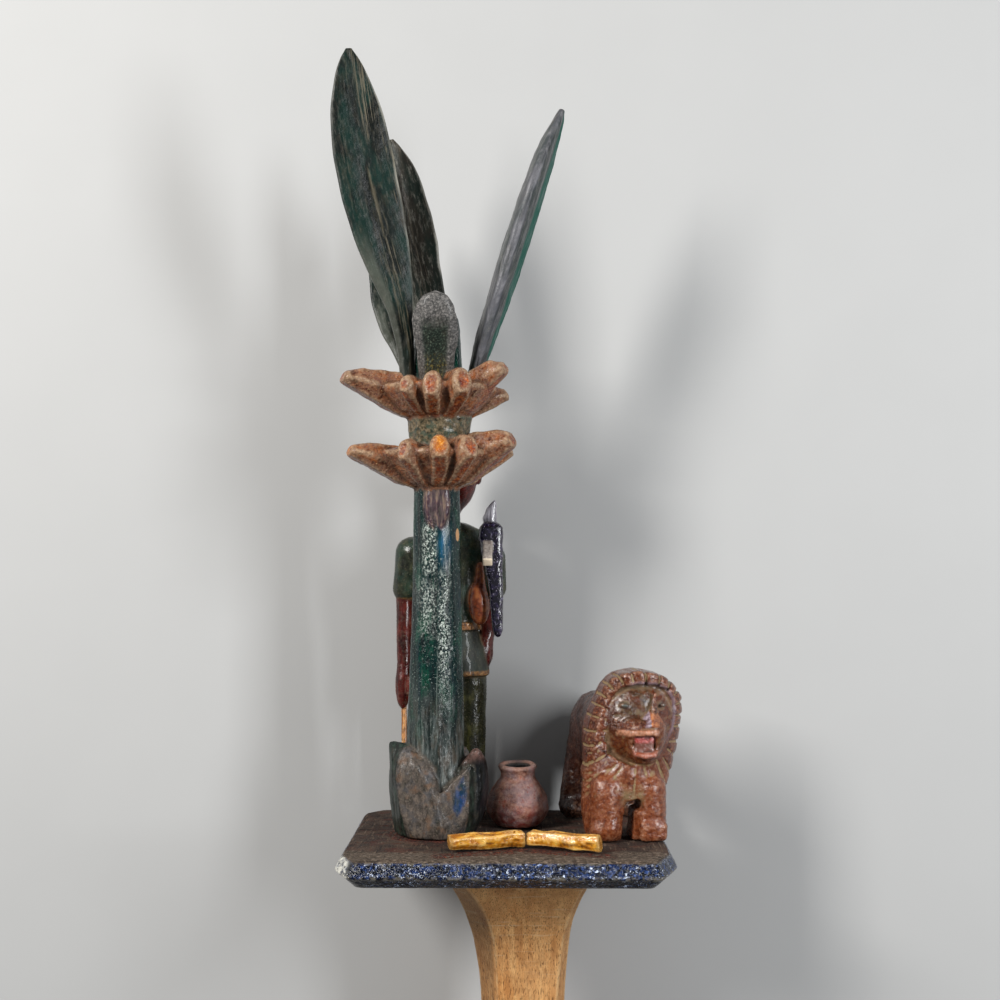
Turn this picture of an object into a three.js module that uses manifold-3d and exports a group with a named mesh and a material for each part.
// A linguist's staff of carved and painted wood, lying on its back at rest.
// A flared, chamfered shaft carries a square bevelled platform. On the platform stand a plantain tree with two
// hands of fruit and four inserted leaves, a standing hunter with a slung sheath and a thin stick, a small hollow
// pot, two billets of firewood and a lion with a carved mane.
// Everything is drawn in the staff's own upright frame, in millimetres: X to the right of the main face, Y away from
// the main face, Z up the staff from the platform's upper surface. The outer group then lays the staff down.
import * as THREE from "three";
import { mergeVertices } from "three/addons/utils/BufferGeometryUtils.js";
import Module from "manifold-3d";

const wasm = await Module();
wasm.setup();

// ---- driving dimensions ----
const GAP = 0.3; // clearance between pieces that touch
const PLATFORM = { x0: -69.8, x1: 60.8, y0: 3, y1: 126, thick: 10.4, rimZ: -6.0, topInset: 4.2, lowInset: 4.4 };
const CORNER = { frontLeft: [6, 17], frontRight: [7, 21], backLeft: [7, 9], backRight: [7, 9] };
const SHAFT_AXIS_Y = 64.5;
const FOOT_Z = -1190; // underside of the shaft below the platform top
const REST = { y: 124.5, z: -6.0, footY: SHAFT_AXIS_Y + 13.3 }; // the line the staff lies on, at platform and at foot
const TILT = Math.atan((REST.y - REST.footY) / (REST.z - FOOT_Z));
const TREE = { x: -33.2, y: 62 };
const POT = { x: -0.2, y: 80.6 };
const LION = { x: 43.5, y: 48.5, yaw: THREE.MathUtils.degToRad(7) };
const HUNTER = { x: -29.0, y: 98 };
const SHIFT = [5.332, 433.614]; // brings the row's origin under the middle of the bounding box, in X and along the staff

// ---- solids ----
const V = (x, y, z) => new THREE.Vector3(x, y, z);

function volumeOf(g) {
  const p = g.getAttribute("position"), i = g.index.array;
  const a = V(0, 0, 0), b = V(0, 0, 0), c = V(0, 0, 0);
  let v = 0;
  for (let k = 0; k < i.length; k += 3) {
    a.fromBufferAttribute(p, i[k]);
    b.fromBufferAttribute(p, i[k + 1]);
    c.fromBufferAttribute(p, i[k + 2]);
    v += a.dot(b.cross(c)) / 6;
  }
  return v;
}

function faceOut(g) {
  if (volumeOf(g) < 0) {
    const i = g.index.array;
    for (let k = 0; k < i.length; k += 3) [i[k + 1], i[k + 2]] = [i[k + 2], i[k + 1]];
  }
  return g;
}

function merged(g) {
  const bare = new THREE.BufferGeometry().setAttribute("position", (g.index ? g.toNonIndexed() : g).getAttribute("position"));
  return faceOut(mergeVertices(bare, 1e-4));
}

function solid(g) {
  const m = merged(g);
  return new wasm.Manifold(
    new wasm.Mesh({ numProp: 3, vertProperties: new Float32Array(m.getAttribute("position").array), triVerts: new Uint32Array(m.index.array) }),
  );
}

function geometryOf(s) {
  const m = s.getMesh(), n = m.numProp;
  const v = new Float32Array(m.numVert * 3);
  for (let i = 0; i < m.numVert; i++) v.set(m.vertProperties.subarray(i * n, i * n + 3), i * 3);
  const g = new THREE.BufferGeometry().setAttribute("position", new THREE.BufferAttribute(v, 3));
  g.setIndex(new THREE.BufferAttribute(new Uint32Array(m.triVerts), 1));
  return g;
}

const join = (list) => list.reduce((a, b) => a.add(b));

// A skin through rings of equal count, closed with a fan at each end.
function loft(rings) {
  const n = rings[0].length, pos = [], idx = [];
  for (const r of rings) for (const p of r) pos.push(p.x, p.y, p.z);
  for (let i = 0; i + 1 < rings.length; i++)
    for (let j = 0; j < n; j++) {
      const a = i * n + j, b = i * n + ((j + 1) % n), c = a + n, d = b + n;
      idx.push(a, b, d, a, d, c);
    }
  for (const [at, turn] of [[0, true], [rings.length - 1, false]]) {
    const c = rings[at].reduce((s, p) => s.add(p), V(0, 0, 0)).multiplyScalar(1 / n);
    const k = pos.length / 3;
    pos.push(c.x, c.y, c.z);
    for (let j = 0; j < n; j++) {
      const a = at * n + j, b = at * n + ((j + 1) % n);
      idx.push(...(turn ? [k, b, a] : [k, a, b]));
    }
  }
  const g = new THREE.BufferGeometry().setAttribute("position", new THREE.Float32BufferAttribute(pos, 3));
  g.setIndex(idx);
  return g;
}

function ellipsoid([x, y, z], [rx, ry, rz], turn = [0, 0, 0], seg = [11, 7]) {
  const g = new THREE.SphereGeometry(1, seg[0], seg[1]);
  g.rotateX(Math.PI / 2);
  g.scale(rx, ry, rz);
  const [tx, ty, tz] = turn.map((d) => THREE.MathUtils.degToRad(d));
  g.rotateX(tx);
  g.rotateY(ty);
  g.rotateZ(tz);
  g.translate(x, y, z);
  return solid(g);
}

// A limb: round ends of radius ra at a and rb at b, joined by a cone.
function limb(a, ra, b, rb, seg = 9) {
  const A = V(...a), B = V(...b), len = A.distanceTo(B), pts = [];
  const cap = 2;
  for (let i = 0; i <= cap; i++) {
    const t = -Math.PI / 2 + (i / cap) * (Math.PI / 2);
    pts.push(new THREE.Vector2(i ? ra * Math.cos(t) : 0, ra * Math.sin(t)));
  }
  for (let i = 0; i <= cap; i++) {
    const t = (i / cap) * (Math.PI / 2);
    pts.push(new THREE.Vector2(i < cap ? rb * Math.cos(t) : 0, len + rb * Math.sin(t)));
  }
  const g = new THREE.LatheGeometry(pts, seg);
  const q = new THREE.Quaternion().setFromUnitVectors(V(0, 1, 0), B.clone().sub(A).normalize());
  g.applyQuaternion(q);
  g.translate(A.x, A.y, A.z);
  return solid(g);
}

function block([x0, y0, z0], [x1, y1, z1]) {
  const g = new THREE.BoxGeometry(x1 - x0, y1 - y0, z1 - z0);
  g.translate((x0 + x1) / 2, (y0 + y1) / 2, (z0 + z1) / 2);
  return solid(g);
}

// Everything below the floor, drawn in the upright frame, for the small flats the staff lies on.
function belowFloor() {
  const g = new THREE.BoxGeometry(400, 100, 2400);
  g.translate(0, 50, 0);
  g.rotateX(-TILT);
  g.translate(0, REST.y, REST.z);
  return solid(g);
}
const FLOOR = belowFloor();

// ---- platform ----
function platformRing(inset, z) {
  const { x0, x1, y0, y1 } = PLATFORM;
  const [l, r, f, b] = [x0 + inset, x1 - inset, y0 + inset, y1 - inset];
  const k = 1 - inset * 0.02;
  const c = CORNER;
  return [
    V(l + c.frontLeft[0] * k, f, z),
    V(r - c.frontRight[0] * k, f, z),
    V(r, f + c.frontRight[1] * k, z),
    V(r, b - c.backRight[1] * k, z),
    V(r - c.backRight[0] * k, b, z),
    V(l + c.backLeft[0] * k, b, z),
    V(l, b - c.backLeft[1] * k, z),
    V(l, f + c.frontLeft[1] * k, z),
  ];
}

function platform() {
  const p = PLATFORM;
  return solid(
    loft([platformRing(p.lowInset, -p.thick), platformRing(0, p.rimZ), platformRing(2.5, -1.4), platformRing(p.topInset, 0)]),
  ).subtract(FLOOR);
}

// ---- shaft ----
// Each station: height, half width, half depth, middle in X, and the front-left, front-right and back chamfers.
const SHAFT_STATIONS = [
  [-PLATFORM.thick - GAP, 31.0, 30.0, 0.2, 6.5, 2.0, 6.0],
  [-17, 27.2, 26.5, 0.2, 7.2, 2.0, 6.5],
  [-24, 23.8, 23.4, 0.3, 8.4, 2.0, 6.8],
  [-32, 20.9, 20.6, 0.5, 8.8, 2.2, 6.8],
  [-41, 18.9, 18.6, 1.2, 8.2, 2.8, 6.6],
  [-58, 17.0, 16.8, 1.8, 6.6, 3.2, 6.2],
  [-85, 16.2, 16.0, 1.6, 6.2, 3.8, 6.0],
  [-130, 15.7, 15.6, 1.2, 6.0, 5.2, 6.0],
  [-420, 15.2, 15.2, 0.8, 5.8, 5.8, 5.8],
  [-800, 14.7, 14.7, 0.5, 5.6, 5.6, 5.6],
  [FOOT_Z, 14.0, 14.0, 0.4, 5.4, 5.4, 5.4],
];

function shaft() {
  const rings = SHAFT_STATIONS.map(([z, hx, hy, cx, fl, fr, bk]) => {
    const [l, r, f, b] = [cx - hx, cx + hx, SHAFT_AXIS_Y - hy, SHAFT_AXIS_Y + hy];
    return [
      V(l + fl, f, z), V(r - fr, f, z), V(r, f + fr, z), V(r, b - bk, z),
      V(r - bk, b, z), V(l + bk, b, z), V(l, b - bk, z), V(l, f + fl, z),
    ];
  });
  return solid(loft(rings)).subtract(FLOOR);
}

// ---- tree ----
const TRUNK_STATIONS = [ // height, radius, shift in X
  [GAP, 15.6, 0], [7, 15.2, 0], [16, 12.6, 0], [38, 11.8, -0.6], [62, 11.3, 0.4], [86, 10.6, 0.6],
  [111, 9.9, 0.2], [139, 9.6, 0.1], [150, 10.4, 0.2], [162, 12.6, 1.0], [168.5, 13.6, 1.2],
  [176, 11.5, 0.6], [190, 10.2, 0.2], [205, 9.6, 0.2], [211, 7.6, 0.2],
];
const TRUNK_SIDES = 14;

function trunk() {
  return solid(
    loft(
      TRUNK_STATIONS.map(([z, r, dx]) =>
        Array.from({ length: TRUNK_SIDES }, (_, i) => {
          const a = ((i + 0.5) / TRUNK_SIDES) * 2 * Math.PI;
          return V(TREE.x + dx + r * Math.sin(a), TREE.y - r * Math.cos(a), z);
        }),
      ),
    ),
  );
}

// One banana: a wedge with a flat keel below, rising outwards. phi is 0 at the main face and 90 to the right. The keel
// climbs from root to tip while the back stays near the hand's upper level.
const FINGER_ROOT = 8.5;
function finger([phi, reach, tip, top, half, backRoot = top - 2.6], root) {
  const a = THREE.MathUtils.degToRad(phi);
  const out = V(Math.sin(a), -Math.cos(a), 0), side = V(Math.cos(a), Math.sin(a), 0);
  const stations = [ // share of the reach, share of the keel's climb, share of the back's climb, drop of the back, share of the half width
    [0, 0, 0, 0, 0.86], [0.3, 0.2, 0.7, 0, 0.97], [0.72, 0.68, 1, 0, 1], [0.93, 0.92, 1, 1.0, 0.82], [1, 1, 1, 2.4, 0.46],
  ];
  return solid(
    loft(
      stations.map(([t, climb, rise, drop, w]) => {
        const r = FINGER_ROOT + t * (reach - FINGER_ROOT);
        const low = root + (tip - root) * climb, high = backRoot + (top - backRoot) * rise - drop;
        return [[-0.5, low], [0.5, low], [1, low + (high - low) * 0.48], [0.62, high], [-0.62, high], [-1, low + (high - low) * 0.48]].map(
          ([s, z]) => V(TREE.x + out.x * r, TREE.y + out.y * r, z).addScaledVector(side, s * half * w),
        );
      }),
    ),
  );
}

// Each finger: direction, reach, keel height at the tip, height of the back, half width and, if it slopes, the back's height at the root.
const UPPER_HAND = {
  root: 167.2,
  fingers: [
    [-73, 39.4, 182.4, 188.2, 6.8], [-25, 28.0, 177.0, 184.6, 4.6], [-2, 26.6, 175.4, 186.4, 5.0], [25, 28.6, 176.6, 187.4, 5.8],
    [66, 31.0, 186.0, 191.4, 4.8, 180], [104, 29.8, 176.8, 182.2, 4.6, 177], [143, 29, 180, 187, 5.6], [180, 28, 180, 187, 5.6], [-143, 29, 180, 187, 5.6], [-110, 32, 181.6, 187.4, 5.6],
  ],
};
const LOWER_HAND = {
  root: 139.6,
  fingers: [
    [-71, 37.0, 152.8, 158.2, 6.8], [-25, 28.4, 150.4, 159.2, 4.2], [6, 27.0, 151.4, 160.8, 4.8], [30, 28.8, 151.0, 161.0, 5.2],
    [70, 33.4, 156.2, 163.4, 6.0], [103, 31.6, 153.6, 159.4, 4.8], [-115, 31, 152, 157.6, 5.4],
  ],
};

// A leaf sheath that hugs the foot of the trunk: a ridged, pointed petal that may lean from its root towards its tip.
function sheathLeaf([phiRoot, phiTip, tipZ, bulge, half]) {
  const steps = 6;
  return solid(
    loft(
      Array.from({ length: steps + 1 }, (_, i) => {
        const t = i / steps;
        const a = THREE.MathUtils.degToRad(phiRoot + (phiTip - phiRoot) * t ** 1.2);
        const out = V(Math.sin(a), -Math.cos(a), 0), side = V(Math.cos(a), Math.sin(a), 0);
        const z = GAP + t * (tipZ - GAP);
        const r = 15.6 + (bulge - 15.6) * Math.sin(Math.PI * Math.min(0.62, t * 0.9)) + 0.5 * t;
        const w = Math.max(0.9, half * Math.sqrt(Math.max(0, 1 - t ** 1.9)) * (0.9 + 0.3 * t * (1 - t)));
        const thick = 5.2 * (1 - 0.62 * t);
        const c = V(TREE.x + out.x * r, TREE.y + out.y * r, z);
        const curl = -w * w * 0.03; // the petal's sides curl round the trunk
        return [[0.06, 0], [0.58, -0.7 + curl * 0.34], [1, -2.0 + curl], [0.6, -2.4 - thick + curl * 0.5], [-0.6, -2.4 - thick + curl * 0.5], [-1, -2.0 + curl], [-0.46, -0.7 + curl * 0.3]].map(
          ([s, u]) => c.clone().addScaledVector(side, s * w).addScaledVector(out, u),
        );
      }),
    ),
  );
}
const SHEATH_LEAVES = [[-40, -82, 39.2, 18.9, 15.5], [28, 46, 29.4, 18.6, 11.0], [86, 92, 36.4, 21.4, 9.0], [140, 148, 35, 18.0, 10.5], [-138, -146, 36, 18.4, 13]];
const RECEPTACLE = { z: 170, r: 10.5, tipZ: 156.2, tipY: 51.0 }; // the cone below the upper hand that narrows to a point in front

// The short spoon-ended leaf that leans out over the fruit.
const SPOON = [ // height, depth, half width, half thickness
  [180, 54.5, 6.6, 4.2], [187, 52.8, 7.2, 4.0], [195, 50.2, 8.0, 3.8], [203, 47.2, 9.1, 3.6], [209, 44.8, 8.9, 3.3], [214, 42.6, 6.8, 2.9], [217.6, 41.2, 2.6, 1.6],
];
function spoonLeaf() {
  const x = -33.0, n = 12;
  return solid(
    loft(
      SPOON.map(([z, y, w, h]) =>
        Array.from({ length: n }, (_, i) => {
          const a = (i / n) * 2 * Math.PI;
          return V(x + w * Math.sin(a), y - h * Math.cos(a) * 0.92, z + h * Math.cos(a) * 0.38);
        }),
      ),
    ),
  );
}

// ---- inserted leaves ----
// Each station: X, Y, Z of the middle, half width, half thickness. across is the direction of the blade's width, in
// degrees about the staff from the picture plane.
const LEAVES = {
  leaf_left: {
    across: 12,
    stations: [
      [-44.6, 57.6, 178, 3.0, 2.7], [-45.1, 57.2, 188, 3.2, 2.9], [-46.0, 56.6, 199, 3.8, 3.0], [-47.9, 56, 212, 5.4, 2.9], [-49.9, 55.4, 221, 7.3, 2.8], [-53.5, 54.6, 234, 9.9, 2.7],
      [-57.2, 53.8, 248, 11.5, 2.6], [-60.9, 52.8, 264, 12.1, 2.5], [-63.8, 51.8, 280, 11.8, 2.4], [-66.1, 51, 295, 10.1, 2.2], [-67.6, 50.4, 306, 7.2, 1.9], [-68.3, 50, 313.6, 4.2, 1.5], [-68.6, 49.8, 318, 1.6, 1.0],
    ],
  },
  leaf_back: {
    across: -6,
    stations: [
      [-31.4, 74.0, 180, 3.2, 2.5], [-32.2, 74.4, 190, 3.8, 2.6], [-34.2, 75.0, 202, 5.4, 2.6], [-37.2, 75.8, 214, 7.6, 2.4], [-40.8, 76.6, 228, 9.6, 2.3], [-44.4, 77.6, 243, 10.9, 2.2],
      [-46.8, 78.4, 257, 10.2, 2.1], [-49.4, 79.2, 269, 8.8, 1.9], [-51.8, 80, 279, 6.2, 1.6], [-53.2, 80.6, 285.6, 3.6, 1.2], [-53.8, 81, 289, 1.4, 0.8],
    ],
  },
  leaf_right: {
    across: 81,
    stations: [
      [-20.4, 60.6, 178, 3.4, 3.0], [-17.4, 60.2, 187, 4.2, 3.3], [-14.6, 59.8, 196, 5.6, 3.5], [-10.4, 59.2, 209, 8.4, 3.6], [-6.2, 58.8, 222, 10.8, 3.8], [-2.3, 58.4, 234, 12.2, 3.8],
      [2.0, 58, 247, 12.6, 3.7], [6.6, 57.6, 261, 11.8, 3.5], [10.6, 57.2, 273, 9.8, 3.2], [14.0, 57, 283, 7.0, 2.7], [16.7, 56.8, 290, 4.0, 1.9], [18.1, 56.8, 294.6, 1.6, 1.2],
    ],
  },
  leaf_rear_left: {
    across: 10,
    stations: [
      [-42.4, 70.5, 180, 2.8, 2.2], [-44.6, 72.2, 188, 3.4, 2.3], [-48.0, 74.8, 198, 4.8, 2.3], [-51.6, 78.0, 208, 6.6, 2.3], [-54.2, 82.0, 220, 8.0, 2.2],
      [-55.6, 86.4, 233, 8.4, 2.1], [-56.2, 91.2, 246, 7.2, 1.9], [-56.2, 95.6, 257, 4.6, 1.5], [-56.0, 98.6, 264, 1.6, 0.9],
    ],
  },
};
const LEAF_SECTION = [[-1, -0.42], [-1, 0.3], [-0.55, 0.72], [0, 1], [0.55, 0.72], [1, 0.3], [1, -0.42], [0.5, -0.84], [0, -0.92], [-0.5, -0.84]]; // a plank with square edges and a low ridge

function blade({ across, stations }, grow = 0, last = stations.length) {
  const a = THREE.MathUtils.degToRad(across);
  const wide = V(Math.cos(a), Math.sin(a), 0);
  const used = stations.slice(0, last);
  return solid(
    loft(
      used.map(([x, y, z, w, h], i) => {
        const p = stations[Math.max(0, i - 1)], q = stations[Math.min(stations.length - 1, i + 1)];
        const along = V(q[0] - p[0], q[1] - p[1], q[2] - p[2]).normalize();
        const side = wide.clone().addScaledVector(along, -wide.dot(along)).normalize();
        const face = along.clone().cross(side).normalize();
        const end = i === 0 ? -grow : 0;
        return LEAF_SECTION.map(([s, u]) =>
          V(x, y, z).addScaledVector(side, s * (w + grow)).addScaledVector(face, u * (h + grow) - Math.abs(s) * w * 0.12).addScaledVector(along, end),
        );
      }),
    ),
  );
}

function tree() {
  let s = join([
    trunk(),
    spoonLeaf(),
    limb([TREE.x + 0.8, TREE.y - 4.5, RECEPTACLE.z], RECEPTACLE.r, [TREE.x + 0.6, RECEPTACLE.tipY + 1.2, RECEPTACLE.tipZ + 1.2], 1.2, 8),
    ...UPPER_HAND.fingers.map((f) => finger(f, UPPER_HAND.root)),
    ...LOWER_HAND.fingers.map((f) => finger(f, LOWER_HAND.root)),
    ...SHEATH_LEAVES.map(sheathLeaf),
  ]);
  for (const leaf of Object.values(LEAVES)) s = s.subtract(blade(leaf, 0.45, 5));
  return biggest(s.subtract(block([-120, 0, -40], [60, 130, GAP])));
}

// A cut can leave slivers: the carving is its largest body.
function biggest(s) {
  return s.decompose().reduce((a, b) => (b.volume() > a.volume() ? b : a));
}

// ---- pot ----
const POT_PROFILE = [ // radius, height; outside from the foot up, then down the inside
  [0, GAP], [7.2, GAP], [10.4, 3.2], [12.5, 7.2], [12.9, 10.6], [11.5, 14.7], [8.9, 18.2], [7.3, 20.8], [7.2, 22.6], [8.1, 24.2], [7.8, 25.5],
  [6.4, 25.7], [5.3, 24.8], [5.1, 21.6], [6.2, 18.5], [8.9, 14.8], [10.2, 10.8], [9.6, 7.4], [7.2, 4.8], [4.0, 3.5], [0, 3.3],
];
function pot() {
  const g = new THREE.LatheGeometry(POT_PROFILE.map(([r, z]) => new THREE.Vector2(r, z)), 22);
  g.rotateX(Math.PI / 2);
  g.translate(POT.x, POT.y, 0);
  return solid(g);
}

// ---- firewood ----
const BILLETS = {
  billet_left: { from: [-26.4, 22.6], to: [1.6, 32.6], r: 3.6, sides: 7, turn: 0.3 },
  billet_right: { from: [4.6, 33.8], to: [31.2, 20.6], r: 3.6, sides: 7, turn: 0.9 },
};
function billet({ from, to, r, sides, turn }) {
  const dir = V(to[0] - from[0], to[1] - from[1], 0).normalize(), side = V(-dir.y, dir.x, 0);
  const ring = (k, scale) =>
    Array.from({ length: sides }, (_, i) => {
      const a = turn + (i / sides) * 2 * Math.PI, q = r * scale * (1 + 0.06 * Math.sin(3 * i + turn * 7));
      return V(from[0] + (to[0] - from[0]) * k, from[1] + (to[1] - from[1]) * k, r + GAP + 0.05)
        .addScaledVector(side, q * Math.cos(a) + 0.4 * Math.sin(k * 3.1))
        .add(V(0, 0, Math.max(-r, q * Math.sin(a))));
    });
  return solid(loft([ring(0, 0.9), ring(0.04, 1), ring(0.5, 0.97), ring(0.96, 1), ring(1, 0.9)]));
}

// ---- hunter ----
// Heights on the figure, then its parts in its own frame: x from the spine, y from the middle, z from the ground.
const BODY_RINGS = [ // the tunic: height, half width, half depth
  [61.4, 16.6, 11.4], [64, 16.4, 11.2], [72, 14.6, 10.2], [80.5, 11.9, 8.8], [84, 11.9, 8.8], [94, 13.8, 9.6], [106, 15.6, 10.0], [114, 16.4, 9.4], [120, 14.8, 8.0], [124.5, 9.2, 6.2], [127, 5.0, 5.0],
];
function hunterParts() {
  const at = ([x, y, z]) => [HUNTER.x + x, HUNTER.y + y, z];
  const tunic = solid(
    loft(
      BODY_RINGS.map(([z, w, d]) =>
        Array.from({ length: 16 }, (_, i) => {
          const a = (i / 16) * 2 * Math.PI;
          return V(HUNTER.x + w * Math.cos(a), HUNTER.y + d * Math.sin(a), z);
        }),
      ),
    ),
  );
  return [
    tunic,
    limb(at([0.4, -0.5, 122]), 5.0, at([0.8, 0, 136]), 4.9), // neck
    ellipsoid(at([1.0, 0.4, 147.6]), [10.6, 11.6, 15.2]), // head
    ellipsoid(at([1.0, 11.2, 144.6]), [2.2, 2.6, 3.6], [0, 0, 0], [8, 6]), // nose
    limb(at([-17.0, 0, 115]), 7.2, at([-19.6, 0.2, 99.5]), 5.6), // sleeve, left of the picture
    limb(at([-20.2, 0, 99]), 4.0, at([-20.0, -0.4, 66]), 3.1), // arm
    ellipsoid(at([-20.4, -0.6, 56]), [3.6, 3.8, 9.2]), // hand
    limb(at([16.8, 0, 115.5]), 7.2, at([18.8, 0.2, 101.0]), 5.6), // sleeve, right
    limb(at([18.6, 0.4, 99]), 4.0, at([15.8, 2.0, 80]), 3.4), // arm
    ellipsoid(at([14.9, 0.8, 71.6]), [3.8, 4.0, 7.0]), // hand
    ellipsoid(at([12.4, -9.6, 93.6]), [4.6, 4.2, 10.6], [0, -6, 0]), // gourd
    limb(at([12.6, -9.4, 103]), 1.6, at([12.8, -8.6, 109]), 1.4, 6), // its neck
    limb(at([8.6, 0.4, 66]), 7.0, at([8.6, 0.2, 8]), 6.0), // legs
    limb(at([-8.6, 0.4, 66]), 7.0, at([-8.6, 0.2, 8]), 6.0),
    ellipsoid(at([8.8, 4.6, 2.4]), [6.2, 11.0, 5.2]), // feet
    ellipsoid(at([-8.8, 4.6, 2.4]), [6.2, 11.0, 5.2]),
  ];
}
function hunter() {
  return join(hunterParts()).subtract(block([-90, 60, -20], [30, 140, GAP])).subtract(sheath(0.35));
}

// The slung sheath: a flat tapering case with a pointed grip, pinned by a square peg.
const SHEATH_RINGS = [ // height, middle in X, half width, half depth
  [79.2, -9.3, 1.2, 1.0], [81.5, -9.4, 2.2, 1.6], [88, -9.6, 2.6, 2.0], [97, -9.7, 3.0, 2.3], [106, -10.4, 3.6, 2.6], [114, -11.0, 4.6, 2.9], [120, -11.3, 5.2, 3.1], [124.6, -11.4, 4.8, 3.0], [126.0, -11.3, 3.4, 2.2],
];
const SHEATH_Y = 82.4;
function sheath(grow = 0) {
  const ring = (z, x, w, d) => {
    const pts = [[-1, -0.45], [-0.55, -1], [0.55, -1], [1, -0.45], [1, 0.45], [0.55, 1], [-0.55, 1], [-1, 0.45]];
    return pts.map(([a, b]) => V(x + a * (w + grow), SHEATH_Y + b * (d + grow), z));
  };
  const body = solid(loft(SHEATH_RINGS.map(([z, x, w, d], i) => ring(z + (i ? 0 : -grow), x, w, d))));
  const grip = solid(loft([ring(124, -11.2, 2.4, 1.6), ring(128.4, -12.0, 3.0, 1.5), ring(132.4, -11.2, 2.2, 1.2), ring(136, -9.8, 0.7, 0.6)]));
  const peg = solid(new THREE.BoxGeometry(3.0 + 2 * grow, 15 + 2 * grow, 3.2 + 2 * grow).rotateX(0.66).translate(-12.6, 76.8, 114.4));
  return join([body, grip, peg]);
}

// The thin stick that stands beside the hand.
const STICK = { x: -46.6, y: 92.2, z0: GAP, z1: 96, r: 1.45 };
function stick() {
  const g = new THREE.CylinderGeometry(STICK.r * 0.9, STICK.r, STICK.z1 - STICK.z0, 8);
  g.rotateX(Math.PI / 2);
  g.translate(STICK.x, STICK.y, (STICK.z0 + STICK.z1) / 2);
  return solid(g);
}

// ---- lion ----
// Local frame: x to the right of the picture, y back from the front paws, z up.
const LION_BODY = [ // distance back, middle height, half width, half height
  [12, 38, 13.4, 17], [24, 38.5, 13.8, 17.4], [36, 38, 12.8, 17.0], [46, 38, 13.0, 17.6], [56, 38, 13.6, 18.6], [64, 36.5, 12.6, 17.4], [69.6, 34, 8.8, 12.6],
];
const FRONT_OUTLINE = [ // the mane, chest and forelegs seen from the front: height, middle, half width
  [0, 0.2, 14.6], [3, -0.6, 15.6], [10, -1.0, 16.1], [20, -0.4, 17.0], [29, 0.5, 17.9], [36, 1.3, 18.5], [43, 2.3, 19.0], [50, 3.7, 18.7], [57, 4.6, 17.0], [62, 4.0, 13.4], [65.4, 3.6, 9.0], [67.4, 3.2, 4.4],
];
const LOCKS = 24; // carved locks on each side of the mane

function outlineAt(z) {
  const f = FRONT_OUTLINE;
  const k = Math.min(f.length - 2, Math.max(0, f.findIndex((r) => r[0] > z) - 1 < 0 ? f.length - 2 : f.findIndex((r) => r[0] > z) - 1));
  const t = (z - f[k][0]) / (f[k + 1][0] - f[k][0]);
  return [f[k][1] + (f[k + 1][1] - f[k][1]) * t, f[k][2] + (f[k + 1][2] - f[k][2]) * t];
}
function frontRing(y, inset, notch) {
  // the outline drawn inwards by inset; every second point falls into the groove between two locks
  const [low, high] = [FRONT_OUTLINE[0][0], FRONT_OUTLINE[FRONT_OUTLINE.length - 1][0]];
  const mid = (low + high) / 2, half = (high - low) / 2;
  const pts = [];
  for (let i = 0; i < 2 * LOCKS; i++) {
    const a = -Math.PI / 2 + ((i + 0.5) / (2 * LOCKS)) * 2 * Math.PI; // from the ground up the right side and back down
    const right = i < LOCKS;
    const z = mid + half * Math.sin(a);
    const [c, w] = outlineAt(z);
    const cut = i % 2 && z > 24 ? notch * 1.15 : 0;
    const shrink = 1 - (inset + cut) / 19;
    pts.push(V(c + (right ? 1 : -1) * w * shrink, y, Math.max(low, mid + (z - mid) * (1 - (inset + cut) / 34))));
  }
  return pts;
}
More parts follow.
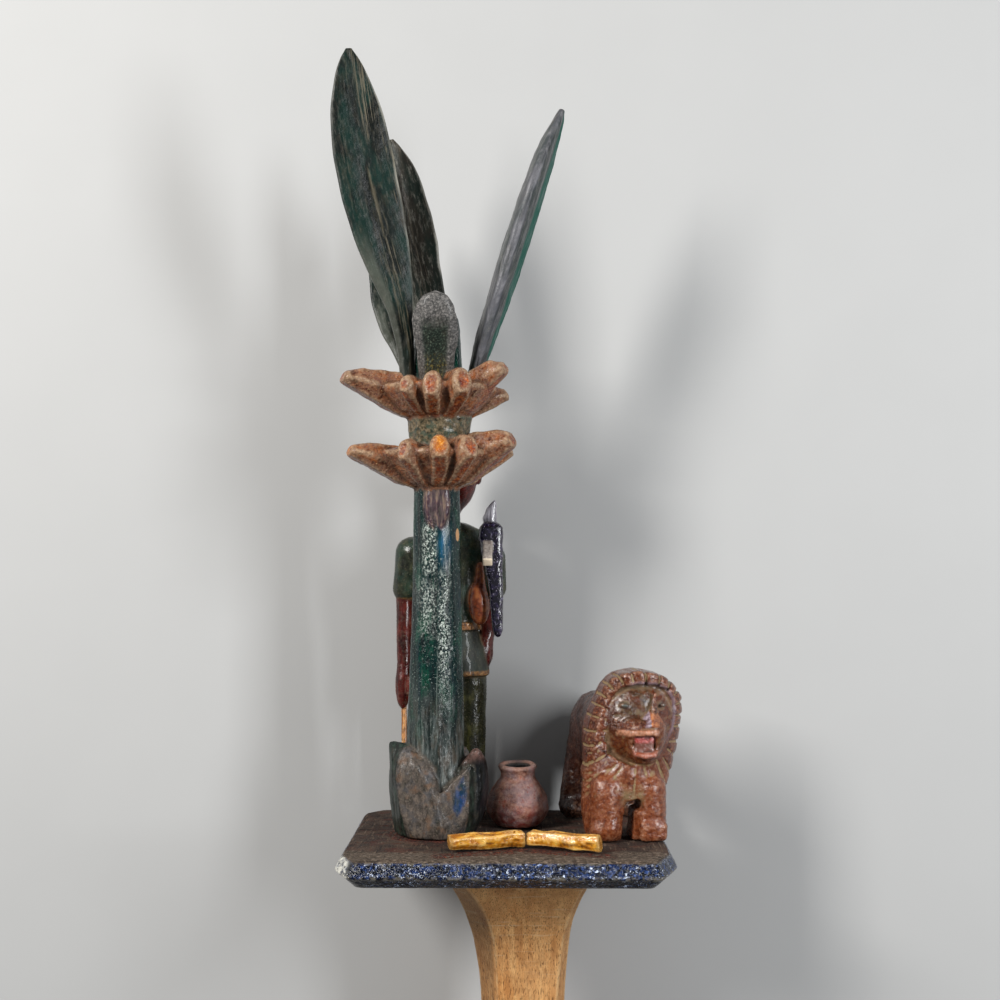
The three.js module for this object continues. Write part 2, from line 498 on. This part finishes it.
function lion() {
  const body = solid(
    loft(
      LION_BODY.map(([y, z, w, h]) =>
        Array.from({ length: 14 }, (_, i) => {
          const a = (i / 14) * 2 * Math.PI, c = Math.cos(a), s = Math.sin(a);
          return V(w * Math.sign(c) * Math.abs(c) ** 0.8, y, z + h * Math.sign(s) * Math.abs(s) ** 0.8);
        }),
      ),
    ),
  );
  const front = solid(
    loft([frontRing(-1.6, 7.5, 0), frontRing(-1.8, 4.2, 0.6), frontRing(-0.2, 1.4, 1.2), frontRing(3.0, 0, 1.4), frontRing(12, 0, 1.2), frontRing(19, 1.6, 0.6), frontRing(23, 6.0, 0)]),
  );
  const behindLegs = block([-40, 14.5, -5], [40, 49, 21.5]); // the space under the belly
  const betweenLegs = block([-2.3, -20, -5], [2.1, 60, 12.6]).add(block([-1.3, -20, 10], [1.1, 20, 15.6]));
  const parts = [
    front.subtract(behindLegs),
    body,
    ellipsoid([0.6, -0.6, 25], [12.5, 4.8, 12]), // breast
    limb([-8.6, 0.6, 20], 7.0, [-8.6, 0.4, 6], 6.2), // forelegs
    limb([8.8, 0.2, 20], 7.0, [8.8, -0.2, 6], 6.2),
    ellipsoid([-8.2, -0.4, 4.2], [6.4, 5.6, 5.0]), // front paws
    ellipsoid([8.8, -1.4, 4.4], [6.8, 6.0, 5.2]),
    limb([-8.6, 56, 36], 8.2, [-12.4, 59, 7], 6.0), // hind legs
    limb([8.6, 56, 36], 8.2, [12.0, 59, 7], 6.0),
    ellipsoid([-12.6, 57, 4.4], [6.2, 8.8, 5.0]), // hind paws
    ellipsoid([12.2, 57, 4.4], [6.2, 8.8, 5.0]),
    ellipsoid([7.4, 1.2, 46.6], [11.2, 8.4, 14.6], [0, 0, -12], [14, 9]), // head
    ellipsoid([9.4, -5.4, 43.6], [7.6, 5.6, 5.4], [0, 0, -14]), // muzzle
    ellipsoid([8.0, -4.2, 33.8], [5.6, 4.6, 3.4], [10, 0, -14]), // jaw
    ellipsoid([10.6, -9.2, 46.8], [3.2, 2.2, 2.4], [0, 0, -14], [8, 6]), // nose
    limb([1, 68, 46], 2.6, [4, 71, 30], 2.2, 8), // tail
    limb([4, 71, 30], 2.2, [5.4, 70.4, 14], 3.0, 8),
  ];
  const mouth = solid(new THREE.BoxGeometry(8.6, 8, 4.6).rotateZ(-0.245).translate(8.0, -7.2, 37.8));
  let s = join(parts).subtract(betweenLegs).subtract(mouth);
  s = s.subtract(block([-40, -30, -20], [40, 90, GAP]));
  const g = geometryOf(s);
  g.rotateZ(LION.yaw);
  g.translate(LION.x, LION.y, 0);
  return biggest(solid(g));
}

// ---- the staff ----
const paint = {
  bare_wood: [0x8a6238, 0.6], blue_rim: [0x1b2a52, 0.35], tree_green: [0x1d3a33, 0.35], leaf_green: [0x24423a, 0.45],
  hunter_green: [0x3a3f2c, 0.45], sheath_purple: [0x241c30, 0.25], stick_ochre: [0xa8682c, 0.45], pot_brown: [0x553029, 0.5], billet_yellow: [0xb8862c, 0.4], lion_brown: [0x6b2f1e, 0.35],
};
function piece(name, shape, colour) {
  const [hex, roughness] = paint[colour];
  const m = new THREE.Mesh(geometryOf(shape), new THREE.MeshStandardMaterial({ color: hex, roughness, metalness: 0, flatShading: true }));
  m.name = name;
  return m;
}

const figures = new THREE.Group();
figures.add(
  piece("plantain_tree", tree(), "tree_green"),
  ...Object.entries(LEAVES).map(([name, leaf]) => piece(name, blade(leaf), "leaf_green")),
  piece("hunter", hunter(), "hunter_green"),
  piece("sheath", sheath(), "sheath_purple"),
  piece("stick", stick(), "stick_ochre"),
  piece("pot", pot(), "pot_brown"),
  ...Object.entries(BILLETS).map(([name, b]) => piece(name, billet(b), "billet_yellow")),
  piece("lion", lion(), "lion_brown"),
);

const upright = new THREE.Group();
upright.add(piece("shaft", shaft(), "bare_wood"), piece("platform", platform(), "blue_rim"), figures);

// Lay the staff on its back: the main face turns up, and the platform's back edge and the foot touch the floor.
upright.rotation.x = -Math.PI / 2 + TILT;
const restPoint = V(0, REST.y, REST.z).applyEuler(upright.rotation);
const staff = new THREE.Group();
upright.position.set(SHIFT[0], SHIFT[1], -restPoint.z);
staff.add(upright);

export default staff;
